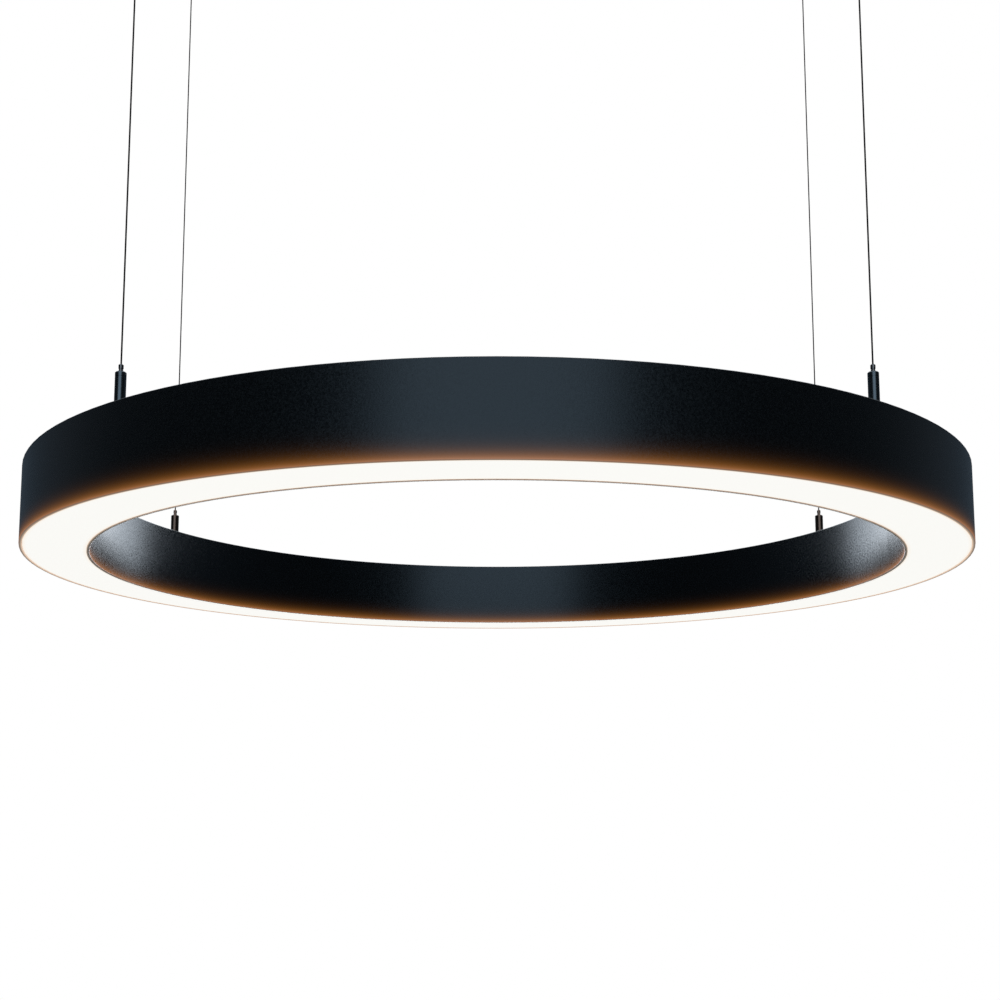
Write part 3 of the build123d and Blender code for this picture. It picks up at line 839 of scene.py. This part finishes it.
# %% Wind one spring at the origin
SPRING_WIRE = 0.5 * MM
SPRING_TURNS = 6
STEPS_PER_COIL = 28
SECTION_CORNERS = 10
MERGE_WITHIN = 0.01 * MM
spring_low, spring_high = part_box("gripper_spring_front_left")
coil_radius = (spring_high.x - spring_low.x - SPRING_WIRE) / 2
coil_height = spring_high.z - spring_low.z - SPRING_WIRE
bpy.ops.object.select_all(action="DESELECT")
bpy.ops.mesh.primitive_circle_add(
    vertices=SECTION_CORNERS,
    radius=SPRING_WIRE / 2,
    location=(coil_radius, 0.0, SPRING_WIRE / 2),
    rotation=(math.radians(90.0), 0.0, 0.0),
)
spring = bpy.context.object
bpy.ops.object.transform_apply()
coil = spring.modifiers.new("coil", "SCREW")
coil.axis = "Z"
coil.iterations = SPRING_TURNS
coil.screw_offset = coil_height / SPRING_TURNS
coil.steps = coil.render_steps = STEPS_PER_COIL
bpy.ops.object.modifier_apply(modifier=coil.name)
bpy.ops.object.mode_set(mode="EDIT")
bpy.ops.mesh.select_all(action="SELECT")
bpy.ops.mesh.remove_doubles(threshold=MERGE_WITHIN)
bpy.ops.mesh.fill_holes(sides=0)
bpy.ops.mesh.select_all(action="SELECT")
bpy.ops.mesh.normals_make_consistent(inside=False)
bpy.ops.object.mode_set(mode="OBJECT")
bpy.ops.object.shade_smooth_by_angle(angle=math.radians(50.0))
print("spring", len(spring.data.polygons), "faces", tuple(round(v, 5) for v in spring.dimensions))

# %% Put a spring below each nose
for corner in CORNERS:
    low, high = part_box(f"gripper_spring_{corner}")
    foot = Vector(((low.x + high.x) / 2, (low.y + high.y) / 2, low.z))
    piece = spring.copy()
    piece.data = spring.data.copy()
    piece.name = f"coil_spring_{corner}"
    bpy.context.scene.collection.objects.link(piece)
    piece.data.transform(Matrix.Translation(foot))
    piece.data.materials.append(spring_steel)
    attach(piece, "ring")
    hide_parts(f"gripper_spring_{corner}")
    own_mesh(piece)
    print(piece.name, "foot", tuple(round(v, 4) for v in foot))
bpy.data.objects.remove(spring)

# %% [markdown]
# Each suspension wire is a 1.5 mm strand of nineteen steel wires: one in the middle, six round it and
# twelve round those. Its shape is a curve that runs from inside the ring, up through the gripper, to the
# crimp in the ceiling fitting. The outline of the twelve outer wires is swept along the curve and turns
# once every lay, so that the wires wind round it. The lay of such a strand is eleven times its diameter.

# %% Draw the outline of twelve wires
STRAND_DIAMETER = 1.5 * MM
LAY = 11.0 * STRAND_DIAMETER
OUTER_WIRES = 12
CORNERS_PER_WIRE = 4


def strand_outline(name):
    """A closed curve round the outer wires, each a fifth of the strand's diameter."""
    wire_radius = STRAND_DIAMETER / 10
    ring_radius = STRAND_DIAMETER / 2 - wire_radius
    corners = OUTER_WIRES * CORNERS_PER_WIRE
    pitch = 2 * math.pi / OUTER_WIRES
    bpy.ops.curve.primitive_bezier_circle_add(radius=STRAND_DIAMETER / 2)
    outline = bpy.context.object
    outline.name = name
    outline.data.splines.clear()
    spline = outline.data.splines.new("POLY")
    spline.points.add(corners - 1)
    spline.use_cyclic_u = True
    for i, point in enumerate(spline.points):
        turn = 2 * math.pi * i / corners
        aside = (turn + pitch / 2) % pitch - pitch / 2
        bulge = math.sqrt(max(0.0, wire_radius**2 - (ring_radius * math.sin(aside)) ** 2))
        reach = ring_radius * math.cos(aside) + bulge
        point.co = (reach * math.cos(turn), reach * math.sin(turn), 0.0, 1.0)
    return outline


outline = strand_outline("outer_wires")
print("outline of", len(outline.data.splines[0].points), "corners")

# %% [markdown]
# Drawn steel wire is grey and satin. This strand still has the dark oil that it was laid with, so it
# shows against a white wall as a thin dark line. The oil also takes the shine off its two edges, where
# metal is usually brightest: that is what the specular tint sets. The shape gives the wires, and the
# material only adds the fine lines that the drawing die leaves along them.

# %% Make the strand's steel
DIE_LINE = 0.15 * MM
LENGTHWAYS_SCALE = 0.15  # the lines are about seven times as long as they are wide
strand_steel, tree, place = new_material("oiled_drawn_steel")
drawn_out = add_node(
    tree, "ShaderNodeMapping", inputs={"Vector": place, "Scale": (1.0, 1.0, LENGTHWAYS_SCALE)}
)
lines = add_node(
    tree,
    "ShaderNodeTexNoise",
    inputs={"Vector": drawn_out.outputs["Vector"], "Scale": 1 / DIE_LINE, "Detail": 2.0},
)
tone = add_node(tree, "ShaderNodeValToRGB", inputs={"Fac": lines.outputs["Fac"]})
set_stops(tone, ((0.3, "101011"), (0.7, "1c1c1d")))
polish = add_node(
    tree,
    "ShaderNodeMapRange",
    inputs={"Value": lines.outputs["Fac"], "To Min": 0.38, "To Max": 0.52},
)
steel = add_node(
    tree,
    "ShaderNodeBsdfPrincipled",
    inputs={
        "Base Color": tone.outputs["Color"],
        "Metallic": 1.0,
        "Roughness": polish.outputs["Result"],
        "Specular Tint": linear("8a8a8a"),
    },
)
show(tree, steel)
print(strand_steel.name)

# %% [markdown]
# The sweep is done four times, once for each corner, and each result is turned into a mesh. Pulled taut
# by the ring, a wire is straight, so its route is four places on one upright line: its cut end below the
# gripper, one a little above the nose that it comes out of, one a little below the ceiling cap that it
# goes into, and its crimped end. The smooth line through them is read off as well, the line along which
# a cord's length is measured.

# %% Hang the wires
CLEAR_OF_FITTING = 6 * STRAND_DIAMETER
STEPS_PER_SPAN = 520  # eighteen steps a turn where they are furthest apart


def strand_along(name, route):
    """The strand along these places, and the smooth line that it follows."""
    curve = bpy.data.curves.new(name, "CURVE")
    curve.dimensions = "3D"
    curve.twist_mode = "MINIMUM"
    spline = curve.splines.new("NURBS")
    spline.points.add(len(route) - 1)
    for point, place in zip(spline.points, route):
        point.co = (*place, 1.0)
        point.tilt = 2 * math.pi * (place - route[0]).length / LAY
    spline.order_u = 3
    spline.use_endpoint_u = True
    spline.resolution_u = STEPS_PER_SPAN
    strand = bpy.data.objects.new(name, curve)
    bpy.context.scene.collection.objects.link(strand)
    bare_line = bpy.data.meshes.new_from_object(strand)
    followed = [tuple(vertex.co) for vertex in bare_line.vertices]
    bpy.data.meshes.remove(bare_line)
    curve.bevel_mode = "OBJECT"
    curve.bevel_object = outline
    curve.use_fill_caps = True
    bpy.ops.object.select_all(action="DESELECT")
    strand.select_set(True)
    bpy.context.view_layer.objects.active = strand
    bpy.ops.object.convert(target="MESH")
    bpy.ops.object.shade_smooth_by_angle(angle=math.radians(40.0))
    return bpy.context.object, followed


for corner in CORNERS:
    low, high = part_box(f"wire_{corner}")
    x, y = (low.x + high.x) / 2, (low.y + high.y) / 2
    _, nose_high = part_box(f"release_nose_{corner}")
    cap_low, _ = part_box(f"ceiling_cap_{corner}")
    heights = (low.z, nose_high.z + CLEAR_OF_FITTING, cap_low.z - CLEAR_OF_FITTING, high.z)
    strand, followed = strand_along(f"steel_wire_{corner}", [Vector((x, y, z)) for z in heights])
    strand.data.materials.clear()
    strand.data.materials.append(strand_steel)
    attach(strand, "ceiling")
    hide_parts(f"wire_{corner}")
    print(strand.name, len(strand.data.polygons), "faces", "heights", [round(z, 4) for z in heights])
bpy.data.objects.remove(outline)

# %% [markdown]
# The finished model's box is set beside the construction's, so that the two can be compared.

# %% Finish
shown_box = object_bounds()
boxes = {"cad": construction_box, "visual": shown_box}
print("box", shown_box)
